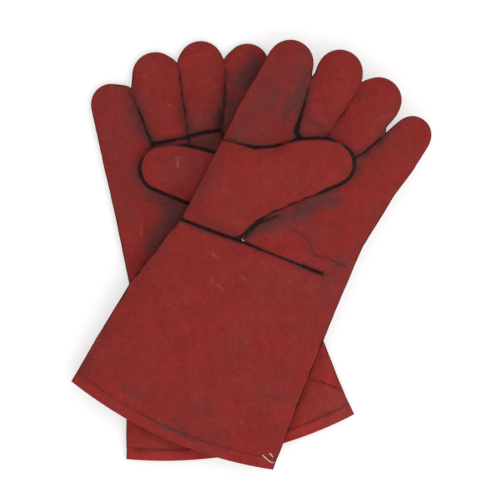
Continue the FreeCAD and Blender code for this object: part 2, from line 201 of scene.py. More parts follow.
def gloveShell(glove):
    # Cuff, hand and four fingers as one closed skin, open only at the mouth of the cuff.
    shape = glove.shape
    per, total = weave["fingerColumns"], 4 * weave["fingerColumns"]
    knuckle = shape["radial"][-1][0]
    bases = shape["bases"]
    withinFinger = crowd(per, 0.85)
    knuckleX = [left + (right - left) * t for left, right in zip(bases, bases[1:]) for t in withinFinger[:-1]]
    knuckleShare = [(x - bases[0]) / (bases[-1] - bases[0]) for x in knuckleX + [bases[-1]]]
    wristShare = crowd(total, 0.75)

    def fingerHeight(column):
        inside = math.sin(math.pi * withinFinger[column % per]) if column % per else 0.0
        return depth["glove"] * inside ** depth["fingerRound"]

    def wide(column, y, toKnuckle, sheet):
        share = (1 - toKnuckle) * wristShare[column] + toKnuckle * knuckleShare[column]
        left, right = edgeX(shape["radial"], y), edgeX(shape["ulnar"], y)
        x = left + share * (right - left)
        flat = depth["glove"] * rounding(min(x - left, right - x), depth["edgeRound"])
        bump = float(smooth((y - (knuckle - depth["parting"])) / depth["parting"]))
        return x, y, sheet * ((1 - bump) * flat + bump * fingerHeight(column))

    handSteps, cuffSteps = crowd(weave["handRows"], 0.35), crowd(weave["cuffRows"], 0.35)
    mesh = bmesh.new()
    layer = mesh.faces.layers.int.new("panel")
    for sheet, firstPanel in ((1, 0), (-1, 6)):
        def handPlace(column, row):
            step = handSteps[row]
            return wide(column, knuckle * step, float(smooth(step)), sheet)

        def cuffPlace(column, row):
            share, step = wristShare[column], cuffSteps[row]
            left, right = (edgeX(shape[edge], shape[edge][0][0] * step) for edge in ("radial", "ulnar"))
            x = left + share * (right - left)
            flat = depth["glove"] * rounding(min(x - left, right - x), depth["edgeRound"])
            return x, mouthY(shape, share) * step, sheet * flat

        addGrid(mesh, total, weave["handRows"], handPlace, firstPanel + 4, layer)
        addGrid(mesh, total, weave["cuffRows"], cuffPlace, firstPanel + 5, layer)
        for count in range(4):
            centreX, centreY, radius = shape["tips"][count]
            baseLeft, baseRight = (bases[count], knuckle), (bases[count + 1], knuckle)

            def tangent(base, turn):
                awayX, awayY = centreX - base[0], centreY - base[1]
                distance = math.hypot(awayX, awayY)
                angle = math.atan2(awayY, awayX) + turn * math.asin(radius / distance)
                return angle, math.sqrt(distance**2 - radius**2)

            angleLeft, runLeft = tangent(baseLeft, 1)
            angleRight, runRight = tangent(baseRight, -1)
            sides = weave["fingerRows"]
            rows = sides + weave["tipRows"]

            def closed(line, side, x, y):
                # neighbouring fingers touch as far up as their crotch, and then part
                if not 1 <= line <= 3:
                    return x
                one, two = shape["tips"][line - 1], shape["tips"][line]
                topX, topY = (one[0] + one[2] + two[0] - two[2]) / 2, min(one[1], two[1])
                middle = float(np.interp(y, (knuckle, topY), (bases[line], topX)))
                firm = 1 - float(smooth((y - shape["crotches"][line - 1]) / 9.0))
                return x + (middle - side * 0.6 - x) * firm * min(1.0, (y - knuckle) / 3.0)

            def fingerPlace(column, row):
                inside = withinFinger[column]
                if row <= sides:
                    step = row / sides
                    leftX, leftY = onward(baseLeft, runLeft * step, angleLeft)
                    rightX, rightY = onward(baseRight, runRight * step, angleRight)
                    cap = 1.0
                else:
                    turnLeft, turnRight = angleLeft + math.pi / 2, angleRight - math.pi / 2
                    top = (turnLeft + turnRight) / 2
                    step = (row - sides) / weave["tipRows"]
                    step = step * (1.6 - 0.6 * step)
                    leftAngle = turnLeft + (top - turnLeft) * step
                    rightAngle = turnRight + (top - turnRight) * step
                    leftX, leftY = onward((centreX, centreY), radius, leftAngle)
                    rightX, rightY = onward((centreX, centreY), radius, rightAngle)
                    cap = math.sin(abs(leftAngle - rightAngle) / 2) / math.sin(abs(turnLeft - turnRight) / 2)
                leftX, rightX = closed(count, 1, leftX, leftY), closed(count + 1, -1, rightX, rightY)
                height = fingerHeight(column) * cap ** 0.8 if 0 < column < per else 0.0
                return leftX + (rightX - leftX) * inside, leftY + (rightY - leftY) * inside, sheet * height

            addGrid(mesh, per, rows, fingerPlace, firstPanel + count, layer)
    return sewnUp(mesh)


def tipArc(tip, point, heading, turn):
    # Round a tip's circle, from where a line from the point touches it, to the heading.
    centre, radius = np.array(tip[:2]), tip[2]
    away = np.array(point) - centre
    first = math.atan2(away[1], away[0]) + turn * math.acos(min(1.0, radius / np.linalg.norm(away)))
    first = heading - turn * ((turn * (heading - first)) % (2 * math.pi))
    return [centre + radius * np.array((math.cos(angle), math.sin(angle)))
            for angle in np.linspace(first, heading, 10)]


def thumbShell(glove):
    # The thumb: two skins sewn round their edge, with its root open at the side of the hand.
    shape = glove.shape
    low, high = np.array(shape["thumbLow"]), np.array(shape["thumbHigh"])
    centre = np.array(shape["thumbTip"][:2])
    columns, rows = weave["thumbColumns"], weave["thumbRows"]
    across, along = crowd(columns, 0.8), crowd(rows, 0.25)

    def follow(points, heading, turn):
        # through the points, on to the tip's circle where it is touched, and round to the heading
        path = np.concatenate((points, tipArc(shape["thumbTip"], points[-1], heading, turn)))
        lengths = np.concatenate(([0.0], np.cumsum(np.linalg.norm(np.diff(path, axis=0), axis=1))))
        return path, lengths / lengths[-1]

    heading = math.atan2(*(centre - (low[0] + high[0]) / 2)[::-1])
    lowPath, lowSteps = follow(low, heading, 1)
    highPath, highSteps = follow(high, heading, -1)

    def at(path, steps, step):
        return np.array((np.interp(step, steps, path[:, 0]), np.interp(step, steps, path[:, 1])))

    mesh = bmesh.new()
    layer = mesh.faces.layers.int.new("panel")
    for sheet in (1, -1):
        def place(column, row):
            lowPoint, highPoint = at(lowPath, lowSteps, along[row]), at(highPath, highSteps, along[row])
            point = lowPoint + (highPoint - lowPoint) * across[column]
            width = float(np.linalg.norm(highPoint - lowPoint))
            inside = across[column] * width
            reach = min(width / 2 + 0.01, depth["thumbRound"])
            height = depth["thumb"] * rounding(min(inside, width - inside), reach)
            height *= rounding(width, depth["thumbTip"]) ** 0.5
            return point[0], point[1], sheet * height

        addGrid(mesh, columns, rows, place, 0 if sheet > 0 else 1, layer)
    return sewnUp(mesh)


puff = {
    "lastFrame": 18,
    "capUp": 2.2,            # how far a point may move off the plain shape, millimetres
    "capAside": 2.5,
    "cloth": {
        "quality": 5,
        "mass": 0.2,
        "tension_stiffness": 12,
        "compression_stiffness": 12,
        "shear_stiffness": 5,
        "bending_stiffness": 0.3,
        "use_pressure": True,
        "uniform_pressure_force": 4.0,
        "shrink_min": -0.02,     # the leather is this much larger than its outline, so it buckles softly
        "vertex_group_mass": "sewn",
    },
    # how firmly sewn lines are held while it puffs, 1 being wholly, and how far from the mouth that reaches
    "wristHold": 0.8,
    "knuckleHold": 0.7,
    "mouthHold": 0.9,
    "mouthReach": 4.0,
}


def makeObject(name, mesh):
    data = bpy.data.meshes.new(name)
    mesh.to_mesh(data)
    piece = bpy.data.objects.new(name, data)
    bpy.context.scene.collection.objects.link(piece)
    return piece


def coordinates(data):
    flat = np.empty(len(data.vertices) * 3)
    data.vertices.foreach_get("co", flat)
    return flat.reshape(-1, 3)


def moveTo(data, points):
    data.vertices.foreach_set("co", np.asarray(points, float).ravel())
    data.update()


def inflate(piece, held):
    # Cloth under a little pressure, with the sewn lines held: it puffs and puckers as stuffed leather does.
    plain = coordinates(piece.data).copy()
    moveTo(piece.data, plain * mm)
    group = piece.vertex_groups.new(name="sewn")
    for index, weight in enumerate(held):
        if weight > 0.01:
            group.add([index], float(weight), "REPLACE")
    cloth = piece.modifiers.new("puff", "CLOTH")
    for key, value in puff["cloth"].items():
        setattr(cloth.settings, key, value)
    cloth.settings.effector_weights.gravity = 0
    cloth.collision_settings.use_collision = False
    cloth.point_cache.frame_start, cloth.point_cache.frame_end = 1, puff["lastFrame"]
    for step in range(1, puff["lastFrame"] + 1):
        bpy.context.scene.frame_set(step)
    settled = piece.evaluated_get(bpy.context.evaluated_depsgraph_get())
    shift = coordinates(settled.data) / mm - plain
    bpy.context.scene.frame_set(1)
    piece.modifiers.remove(cloth)
    piece.vertex_groups.remove(group)
    shift[:, 2] = puff["capUp"] * np.tanh(shift[:, 2] / puff["capUp"])
    shift[:, :2] = puff["capAside"] * np.tanh(shift[:, :2] / puff["capAside"])
    moveTo(piece.data, plain + shift)


def heldLines(glove, points, part):
    # How firmly each point is held while the leather puffs: sewn lines stay where they are.
    knuckle = glove.shape["radial"][-1][0]
    x, y, z = points.T
    held = (np.abs(z) < 0.4) * 1.0
    if part == "thumb":
        return np.maximum(held, x - np.interp(y, *zip(*glove.shape["radial"])) < 2.0)
    mouth = fromMouth(glove, x, y)
    held = np.maximum(held, puff["wristHold"] * (np.abs(y) < 0.6))
    held = np.maximum(held, puff["mouthHold"] * bell(mouth, puff["mouthReach"]))
    held = np.maximum(held, mouth < 0.8)
    return np.maximum(held, puff["knuckleHold"] * (np.abs(y - knuckle) < 0.6) * (z > 0))


def subdivided(piece):
    # One level of subdivision, made real.
    finer = piece.modifiers.new("finer", "SUBSURF")
    finer.levels = finer.render_levels = 1
    data = bpy.data.meshes.new_from_object(piece.evaluated_get(bpy.context.evaluated_depsgraph_get()))
    piece.modifiers.clear()
    old, piece.data = piece.data, data
    bpy.data.meshes.remove(old)


def lineDistance(points, line):
    # Distance from each point to a run of straight stretches, all in the glove's flat frame.
    best = np.full(len(points), 1e9)
    for start, end in zip(line, line[1:]):
        start, end = np.array(start, float), np.array(end, float)
        run = end - start
        share = np.clip(((points[:, :2] - start) @ run) / max(run @ run, 1e-9), 0, 1)
        best = np.minimum(best, np.linalg.norm(points[:, :2] - start - share[:, None] * run, axis=1))
    return best


creases = {
    # lines on the palm side: the points, then how deep, how wide (both millimetres) and how dark the painted
    # shade in the line is
    "left": (
        (((-84.0, 0.0), (-60.0, 0.0)), 2.6, 1.8, 1.1),
        (((-62.0, 0.0), (-23.0, 0.0)), 2.6, 2.2, 1.2),
        (((-24.0, 0.0), (-4.0, -0.8)), 2.4, 1.8, 1.05),
        (((-4.0, -0.8), (37.0, -1.2)), 2.3, 1.35, 0.95),
        (((37.0, -1.2), (55.0, -1.2)), 2.6, 2.1, 1.1),
        (((56.0, -1.2), (84.0, 0.0)), 1.0, 1.1, 0.2),
        (((-10.0, 117.5), (50.0, 117.5)), 0.9, 2.4, 0.0),
        (((-15.0, 150.0), (-14.2, 136.0)), 1.0, 1.2, 0.6),
        (((-14.2, 137.0), (-13.0, 122.0)), 1.6, 1.6, 0.85),
        (((-13.4, 125.0), (-12.4, 113.0)), 2.0, 2.1, 1.1),
        (((-12.4, 114.0), (-12.0, 108.5), (-6.5, 104.4)), 2.0, 2.9, 1.2),
        (((60.7, 131.4), (52.0, 114.5), (46.0, 107.0)), 1.6, 1.7, 0.8),
        (((24.0, 155.0), (21.4, 139.3), (16.5, 117.1)), 1.2, 1.5, 0.5),
        (((-19.8, 4.0), (-18.1, 10.3), (-14.6, 19.5), (-7.6, 26.5), (-0.3, 33.0)), 1.3, 1.9, 0.8),
        (((13.5, 26.6), (24.7, 25.5), (35.0, 20.0), (42.2, 11.9)), 1.2, 1.8, 0.55),
        (((42.2, 11.9), (53.7, 13.6), (71.9, 11.9)), 1.3, 1.6, 0.6),
        (((-56.6, -12.7), (-45.8, -12.6), (-35.3, -11.9), (-27.5, -7.5)), 0.6, 1.5, 0.4),
        (((50.0, 100.0), (62.0, 84.0), (66.0, 60.0)), 1.2, 5.0, 0.1),
        (((70.0, 112.0), (80.0, 92.0), (84.0, 66.0)), 1.0, 4.0, 0.1),
        (((-60.0, 100.0), (-40.0, 108.0), (-20.0, 106.0)), 1.2, 4.0, 0.15),
        (((-58.0, 128.0), (-40.0, 133.0), (-22.0, 130.0)), 0.9, 3.5, 0.1),
        (((-90.0, -40.0), (-40.0, -52.0), (20.0, -46.0), (60.0, -58.0)), 0.9, 10.0, 0.0),
        (((-60.0, -10.0), (-40.0, -60.0), (-46.0, -120.0)), 0.8, 12.0, 0.0),
        (((40.0, -20.0), (30.0, -90.0), (44.0, -150.0)), 0.8, 12.0, 0.0),
        (((-84.0, -110.0), (-20.0, -128.0), (40.0, -118.0)), 0.7, 11.0, 0.0),
    ),
    "right": (
        (((-78.0, 0.0), (76.0, 0.0)), 2.4, 1.7, 1.0),
        (((25.0, 120.5), (9.7, 120.0), (-8.3, 119.6)), 2.2, 1.9, 1.05),
        (((24.6, 120.0), (32.0, 163.0), (35.0, 172.0)), 1.0, 2.3, 0.6),
        (((-8.0, 120.0), (-13.2, 179.0)), 1.0, 2.1, 0.58),
        (((-39.5, 120.0), (-54.0, 170.0)), 1.0, 2.4, 0.62),
        (((-8.3, 120.0), (-25.2, 120.6), (-37.0, 119.4)), 2.4, 2.3, 1.1),
        (((27.4, 134.3), (24.4, 121.0)), 1.6, 2.0, 0.8),
        (((-41.8, 137.4), (-38.3, 121.4)), 1.4, 3.6, 0.6),
        (((44.0, 40.0), (40.0, 70.0), (52.0, 96.0)), 1.5, 6.0, 0.1),
        (((62.0, 20.0), (56.0, 60.0), (60.0, 108.0)), 1.0, 5.0, 0.1),
        (((30.0, 150.0), (50.0, 146.0), (66.0, 150.0)), 0.9, 3.5, 0.1),
        (((-8.0, 146.0), (6.0, 143.0), (24.0, 147.0)), 0.7, 3.5, 0.05),
        (((-68.2, -116.4), (-80.6, -122.9), (-93.0, -131.5)), 1.2, 1.6, 0.7),
        (((-84.0, -60.0), (-70.0, -90.0), (-72.0, -130.0)), 1.0, 7.0, 0.0),
        (((80.0, -30.0), (84.0, -90.0), (94.0, -140.0)), 1.0, 8.0, 0.0),
        (((70.0, -20.0), (20.0, -34.0), (-40.0, -26.0)), 0.9, 9.0, 0.0),
    ),
}
shadowAndGrime = {
    # where the palm side is darkened, partly by grime from handling and partly by painted shadow (where the
    # other glove casts or meets it, and under the thumb); a negative strength is painted light lifting a
    # shadowed patch: the points, then how wide and how strong
    "left": (
        (((-52.0, 92.0), (-44.0, 130.0), (-36.0, 160.0)), 22.0, 0.45),
        (((-26.0, 98.0), (-22.0, 130.0), (-20.0, 160.0)), 8.0, 0.5),
        # painted shade beneath the thumb's lower edge
        (((-16.0, 9.1), (1.0, 29.7), (22.5, 50.3), (44.3, 64.1)), 9.0, 0.6),
        (((52.0, 84.0), (51.0, 98.0)), 5.0, 0.5),
        # painted shade beneath the thumb
        (((18.0, 41.0), (32.0, 36.0), (36.0, 22.0)), 10.0, 0.3),
        (((52.0, 112.0), (60.0, 120.0), (64.0, 135.0)), 7.0, 0.5),
        (((-6.0, 122.0), (8.0, 121.0)), 6.0, 0.5),
        (((60.0, -5.0), (74.0, 30.0), (80.0, 70.0)), 9.0, 0.3),
        (((-34.0, -179.5), (4.4, -182.0)), 2.5, 0.8),
        (((-22.0, -171.0), (-6.0, -178.0)), 2.5, 0.6),
        (((-77.0, -157.5), (-58.0, -164.0)), 6.0, 0.35),
    ),
    "right": (
        # painted shadow along the edge of the glove lying on this one, in this line and the next
        (((34.0, 74.0), (14.0, 60.0), (-6.0, 46.0)), 9.0, 0.8),
        (((48.0, 18.0), (34.0, 40.0), (19.0, 52.0), (0.5, 69.2), (-19.0, 93.0), (-40.0, 125.0)), 13.0, 0.75),
        (((-84.0, 150.0), (-30.0, 150.0), (20.0, 150.0), (60.0, 130.0)), 34.0, 0.22),
        (((-52.0, 126.0), (-58.0, 145.0), (-68.0, 160.0), (-80.0, 172.0)), 9.0, 1.1),
        (((-18.0, 112.0), (-30.0, 113.0), (-44.0, 110.0)), 7.0, 0.8),
        (((-10.0, 124.0), (-10.0, 150.0)), 6.0, 0.4),
        (((30.0, 130.0), (33.0, 150.0), (36.0, 170.0)), 7.0, 0.5),
        (((50.0, 100.0), (56.0, 60.0)), 12.0, 0.35),
        # painted light: a negative strength lifts the cuff where the raised glove's shadow falls, in this
        # line and the next
        (((100.0, -145.0), (20.0, -158.0), (-40.0, -150.0), (-92.0, -140.0)), 26.0, -0.9),
        (((-92.0, -140.0), (-84.0, -100.0)), 26.0, -0.8),
        # painted shadow where the raised glove's other edge meets this one
        (((-86.0, -86.0), (-70.0, -109.0), (-53.3, -135.4), (-47.0, -145.7), (-40.0, -157.0)), 4.5, 0.6),
        (((99.0, -144.5), (52.6, -155.0)), 2.6, 1.2),
        (((-60.0, -152.5), (-94.0, -146.0)), 2.6, 1.2),
    ),
}
marks = {
    # pale rubbed marks: the points, then how wide and how strong
    "left": (
        (((-43.0, -19.5), (-38.0, -21.5)), 0.9, 0.8),
        (((-12.0, -28.5), (-3.0, -32.5)), 0.9, 0.6),
        (((-36.0, -41.5), (-20.0, -48.0)), 1.1, 0.6),
        (((36.0, -151.0), (38.0, -152.0)), 1.4, 0.6),
        (((-35.0, -176.5), (-30.0, -178.0)), 1.2, 0.6),
    ),
    "right": (
        (((4.6, 104.5), (6.5, 95.5)), 0.9, 1.0),
        (((14.0, 183.0), (19.0, 180.5)), 0.8, 0.6),
        (((0.5, 151.0), (2.0, 152.0)), 1.1, 0.8),
        (((52.0, 44.0), (50.0, 51.0)), 0.8, 0.6),
    ),
}
thumbShadow = {
    # where the painted shadow along the thumb's sewn edge is darkest
    "left": (
        ((-79.6, 0.0), (-24.5, 0.0)),
        ((-25.5, 4.8), (-14.9, 23.0)),
        ((-45.4, 81.0), (-33.4, 84.9), (-23.1, 89.9)),
        ((-10.2, 102.0), (17.2, 114.3)),
        ((38.2, 108.8), (45.5, 104.6), (47.4, 96.5), (47.0, 87.1), (39.4, 76.1), (30.0, 68.0)),
    ),
    "right": (
        ((-6.5, 112.3), (-26.4, 103.0)),
        ((39.0, 103.0), (40.6, 92.0), (31.9, 79.0), (22.0, 71.4), (-20.0, 46.0)),
    ),
    "least": 0.6,
    "most": 1.35,
    "reach": 6.0,
}
hem = {
    "deep": 10.0,            # millimetres, as the solids have it
    "groove": 0.9,
    "grooveWide": 1.6,
    "swell": 0.35,
    "roll": 1.5,
}


def thumbOutline(glove):
    # The thumb's sewn edge, from the wrist round its tip to where its root ends.
    shape = glove.shape
    low, high = shape["thumbLow"], shape["thumbHigh"]
    heading = math.atan2(shape["thumbTip"][1] - (low[0][1] + high[0][1]) / 2,
                         shape["thumbTip"][0] - (low[0][0] + high[0][0]) / 2)
    up = tipArc(shape["thumbTip"], low[-1], heading, 1)
    down = tipArc(shape["thumbTip"], high[-1], heading, -1)
    return list(low) + up + down[-2::-1] + list(high)[::-1]


def thumbShadowAt(glove, points):
    # How dark the painted shadow along the thumb's sewn edge is near each point.
    nearest = np.min([lineDistance(points, line) for line in thumbShadow[glove.hand]], axis=0)
    return thumbShadow["least"] + (thumbShadow["most"] - thumbShadow["least"]) * bell(nearest, thumbShadow["reach"])


def fromMouth(glove, x, y):
    # How far up the cuff a point is from its mouth.
    left, right = (np.interp(y, *zip(*glove.shape[edge])) for edge in ("radial", "ulnar"))
    return y - mouthY(glove.shape, np.clip((x - left) / (right - left), 0, 1))


sewing = {
    # pairs are how deep and how wide, or how strong and how wide, in millimetres; a strength is how much
    # painted shade darkens the leather
    "backWrist": (2.4, 1.7),
    "creaseShadeAndGrime": (0.35, 4.5),
    "thumbEdgeShadow": (0.45, 6.0),
    "edgeWide": 2.4,
    "outline": (0.4, 2.2),
    "crotch": (2.0, 2.2),
    "wristPucker": (0.3, 8.0),
    "knucklePucker": (0.25, 6.0),
    "plainDark": 0.5,        # a crease darker than this is a sewn line, one lighter is a soft fold
}


def sewAndCrease(glove, points):
    # Sinks the seams and folds into the puffed skin. Returns it with how much painted shade darkens the seams
    # and creases at each point, how much grime and painted shadow darken it there (painted light where that
    # is negative), and how far it is from the cuff's mouth.
    shape, knuckle = glove.shape, glove.shape["radial"][-1][0]
    x, y, z = points.T
    sheet, front, bases = np.sign(z), z > 0, shape["bases"]
    shoulder, crown = depth["shoulder"], depth["limit"] - depth["shoulder"]
    z = np.where(np.abs(z) > crown, sheet * (crown + shoulder * np.tanh((np.abs(z) - crown) / shoulder)), z)
    deep, wide = sewing["backWrist"]
    # the back's wrist seam is sunk, and darkened with painted shade
    sunk, seamAndCreaseShade = np.where(front, 0.0, deep * bell(y, wide)), np.where(front, 0.0, bell(y, wide))
    grimeAndShade = np.zeros(len(points))
    for line, deep, wide, dark in creases[glove.hand]:
        away = lineDistance(points, line)
        near = bell(away, wide) * front
        sewnLine = dark > sewing["plainDark"]
        sunk = np.maximum(sunk, deep * near) if sewnLine else sunk + deep * near
        # a crease's darkness is painted shade in its groove
        seamAndCreaseShade = np.maximum(seamAndCreaseShade, dark * near)
        # a sewn crease also gets a soft halo of painted shade beside it, with some grime
        strength, reach = sewing["creaseShadeAndGrime"]
        grimeAndShade = grimeAndShade + strength * dark * sewnLine * bell(away, reach) * front
    # grime and painted shadow from the table, with painted light where a strength is negative
    for line, wide, strength in shadowAndGrime[glove.hand]:
        grimeAndShade = grimeAndShade + strength * bell(lineDistance(points, line), wide) * front
    between = np.zeros(len(points))
    for count in (1, 2, 3):
        one, two = shape["tips"][count - 1], shape["tips"][count]
        top = ((one[0] + one[2] + two[0] - two[2]) / 2, min(one[1], two[1]))
        away = lineDistance(points, ((bases[count], knuckle - 5.0), (bases[count], knuckle), top))
        between = np.maximum(between, bell(away, 6.0))
        # each crotch between fingers is sunk and darkened with painted shade
        deep, wide = sewing["crotch"]
        crotch = bell(x - bases[count], wide) * bell(np.maximum(knuckle - y, 0), 6.0) * (y < knuckle + 3)
        sunk, seamAndCreaseShade = np.maximum(sunk, deep * crotch), np.maximum(seamAndCreaseShade, 0.5 * crotch * front)
    # the outline where front and back meet is darkened with painted shade, most of all between the fingers
    strength, wide = sewing["outline"]
    seamAndCreaseShade = np.maximum(seamAndCreaseShade, bell(z, wide) * (strength + strength * between))
    # the palm along the thumb's edge gets a painted shadow line, and a wider painted shadow beside it
    under, edge = lineDistance(points, thumbOutline(glove)), thumbShadowAt(glove, points)
    seamAndCreaseShade = np.maximum(seamAndCreaseShade, edge * bell(under, sewing["edgeWide"]) * front)
    strength, wide = sewing["thumbEdgeShadow"]
    grimeAndShade = grimeAndShade + strength * edge * bell(under, wide) * front
    mouth = fromMouth(glove, x, y)
    stitched = bell(mouth - hem["deep"] - 0.6, hem["grooveWide"])
    rolled = 1 - np.sqrt(np.maximum(0, 1 - (1 - np.clip(mouth / hem["roll"], 0, 1)) ** 2))
    sunk = sunk + hem["groove"] * stitched - hem["swell"] * (mouth < hem["deep"]) + 0.8 * hem["roll"] * rolled
    # the hem's stitched groove is darkened with painted shade
    seamAndCreaseShade = np.maximum(seamAndCreaseShade, 0.5 * stitched)
    high, wide = sewing["wristPucker"]
    pucker = high * np.sin(x * 1.05) * bell(y, wide)
    high, wide = sewing["knucklePucker"]
    pucker = pucker + high * np.sin(x * 1.3 + 1.0) * bell(y - knuckle, wide) * front
    room = np.abs(z) / (np.abs(z) + 0.8)
    z = z - sheet * (sunk + pucker) * room
    return np.stack((x, y, z), axis=1), seamAndCreaseShade, grimeAndShade, mouth


lay = {
    "cuffSlope": math.asin(12.5 / 189.5),
    "fingerDroop": math.radians(5),
    "ulnarSag": 1.5,         # how far the raised glove's little finger side sinks, millimetres
    "cornerSag": 3.0,        # and its cuff's thumb side corner
    "clearOfFloor": 0.05,
}


def lie(glove, points):
    # Lets the glove lie on what is under it: the floor, or the other glove.
    x, y, z = points.T
    if glove.hand == "right":
        return np.stack((x, y, np.maximum(z, -glove.base / mm + lay["clearOfFloor"])), axis=1)
    knuckle = glove.shape["radial"][-1][0]
    drop = np.where(y < 0, -y, 0.0) * math.tan(lay["cuffSlope"])
    drop = drop + math.tan(lay["fingerDroop"]) * np.maximum(y - knuckle, 0) ** 1.5 / 8.8
    drop = drop + lay["ulnarSag"] * smooth((x - 45) / 55) * smooth((y + 20) / 60)
    drop = drop + lay["cornerSag"] * smooth((-x - 62) / 55) * smooth((-y - 20) / 110)
    return np.stack((x, y, z - drop), axis=1)


def cut(piece, panels, name, bands=()):
    # A copy of some panels of a skin, or of the part of them where each named layer is within its limits.
    mesh = bmesh.new()
    mesh.from_mesh(piece.data)
    panel = mesh.faces.layers.int["panel"]
    spare = {face for face in mesh.faces if face[panel] not in panels}
    for band, near, far in bands:
        layer = mesh.verts.layers.float[band]
        spare |= {face for face in mesh.faces
                  if not near <= sum(vert[layer] for vert in face.verts) / len(face.verts) <= far}
    bmesh.ops.delete(mesh, geom=list(spare), context="FACES")
    copy = makeObject(name, mesh)
    mesh.free()
    return copy


thumbRest = {
    "root": 19.0,            # how far from the hand's side the thumb has risen to its height, millimetres
    "low": 4.0,              # how high its middle lies at the wrist, and how much higher where it is sewn
    "rise": 8.2,
    "outer": 1.4,            # how much of its own thickness shows above that, and below
    "inner": 0.72,
    # folds in it: the points, then how deep and how wide
    "folds": (
        (((-20, 92), (2, 84), (18, 70)), 1.4, 6.0),
        (((8, 110), (22, 100), (24, 84)), 0.9, 5.0),
    ),
}


def thumbLie(glove, points):
    # The thumb lies across the palm: its root curves down round the side of the hand.
    x, y, z = points.T
    away = x - np.interp(y, *zip(*glove.shape["radial"]))
    rise = np.sqrt(np.maximum(0, 1 - (1 - np.clip(away / thumbRest["root"], 0, 1)) ** 2))
    sewn = smooth((y + 3.0) / 15.0) if glove.hand == "left" else 1.0
    own = np.where(z > 0, thumbRest["outer"], thumbRest["inner"]) * z * (0.35 + 0.65 * sewn)
    height = thumbRest["low"] + thumbRest["rise"] * sewn + own
    for line, deep, wide in thumbRest["folds"]:
        height = height - deep * bell(lineDistance(points, line), wide) * (z > 0)
    return np.stack((x, y, height * rise), axis=1)


def setAttribute(piece, name, values, kind="FLOAT"):
    attribute = piece.data.attributes.new(name, kind, "POINT")
    values = np.asarray(values, np.float32).ravel()
    attribute.data.foreach_set("value" if kind == "FLOAT" else "vector", values)


walls = {
    # each layer from its upper to its lower face, in millimetres below the leather's surface
    "leather": (0.0, 1.4),
    "hem": (1.45, 2.6),
    "cloth": (2.4, 3.1),
    "deep": 2.4,
    "edge": 0.5,             # how far the seam's own thickness stands out past its line
    "room": 1.4,             # the linings stop where the glove is thinner than this
    "rim": 99,               # the panel number of the faces that join a layer's two sides
}
endless = 1e9


def sunkBy(flat, normals, inset):
    # The same skin a little further in, never through the middle of the glove.
    inner = flat - normals * (inset, inset, 0.0)
    inner[:, 2] = np.sign(flat[:, 2]) * np.maximum(np.abs(flat[:, 2]) - inset, 0.0)
    return inner


def normalsOf(piece):
    normals = np.empty(len(piece.data.vertices) * 3)
    piece.data.vertex_normals.foreach_get("vector", normals)
    return normals.reshape(-1, 3)


def dress(piece, glove, part):
    # Takes a puffed skin in its flat frame to its final place, with what its material needs kept on it.
    flat = coordinates(piece.data).copy()
    away = lineDistance(flat, thumbOutline(glove))
    flat = flat + normalsOf(piece) * (1.0, 1.0, 0.0) * walls["edge"] * bell(flat[:, 2:], 3.0)
    if part == "thumb":
        # the thumb's edge gets a painted shadow line and a soft painted shade beside it, and its inner skin,
        # facing the palm, painted shade all over
        seamAndCreaseShade, grimeAndShade = thumbShadowAt(glove, flat) * bell(away, 1.5), 0.2 * bell(away, 5.0) + 0.5 * (flat[:, 2] < 0)
        inner = thumbLie(glove, sunkBy(flat, normalsOf(piece), walls["deep"]))
        points, mouth, room = thumbLie(glove, flat), np.full(len(flat), 200.0), np.abs(flat[:, 2])
        setAttribute(piece, "away", flat[:, 0] - np.interp(flat[:, 1], *zip(*glove.shape["radial"])))
    else:
        points, seamAndCreaseShade, grimeAndShade, mouth = sewAndCrease(glove, flat)
        moveTo(piece.data, points)
        room = np.abs(points[:, 2])
        inner = sunkBy(points, normalsOf(piece), walls["deep"])
    moveTo(piece.data, glove.world(lie(glove, points)))
    if glove.side < 0:
        piece.data.flip_normals()
    apart = (0.0, 0.0, 0.0) if glove.hand == "left" else (3.7, 1.9, 0.0)
    setAttribute(piece, "rest", flat * mm + apart, "FLOAT_VECTOR")
    setAttribute(piece, "inner", glove.world(lie(glove, inner)), "FLOAT_VECTOR")
    setAttribute(piece, "lean", normalsOf(piece), "FLOAT_VECTOR")
    pale = sum(strength * bell(lineDistance(flat, line), wide) for line, wide, strength in marks[glove.hand])
    shown = {"seamAndCreaseShade": seamAndCreaseShade, "shadowAndGrime": grimeAndShade, "mouth": mouth, "room": room, "pale": pale * (flat[:, 2] > 0)}
    for name, values in shown.items():
        setAttribute(piece, name, values)


def makeSkin(glove, part):
    mesh = gloveShell(glove) if part == "glove" else thumbShell(glove)
    skin = makeObject(f"{glove.hand}_{part}_skin", mesh)
    mesh.free()
    inflate(skin, heldLines(glove, coordinates(skin.data), part))
    subdivided(skin)
    dress(skin, glove, part)
    return skin


def attributeOf(piece, name, width):
    values = np.empty(len(piece.data.vertices) * width, np.float32)
    piece.data.attributes[name].data.foreach_get("value" if width == 1 else "vector", values)
    return values.reshape(-1, width)


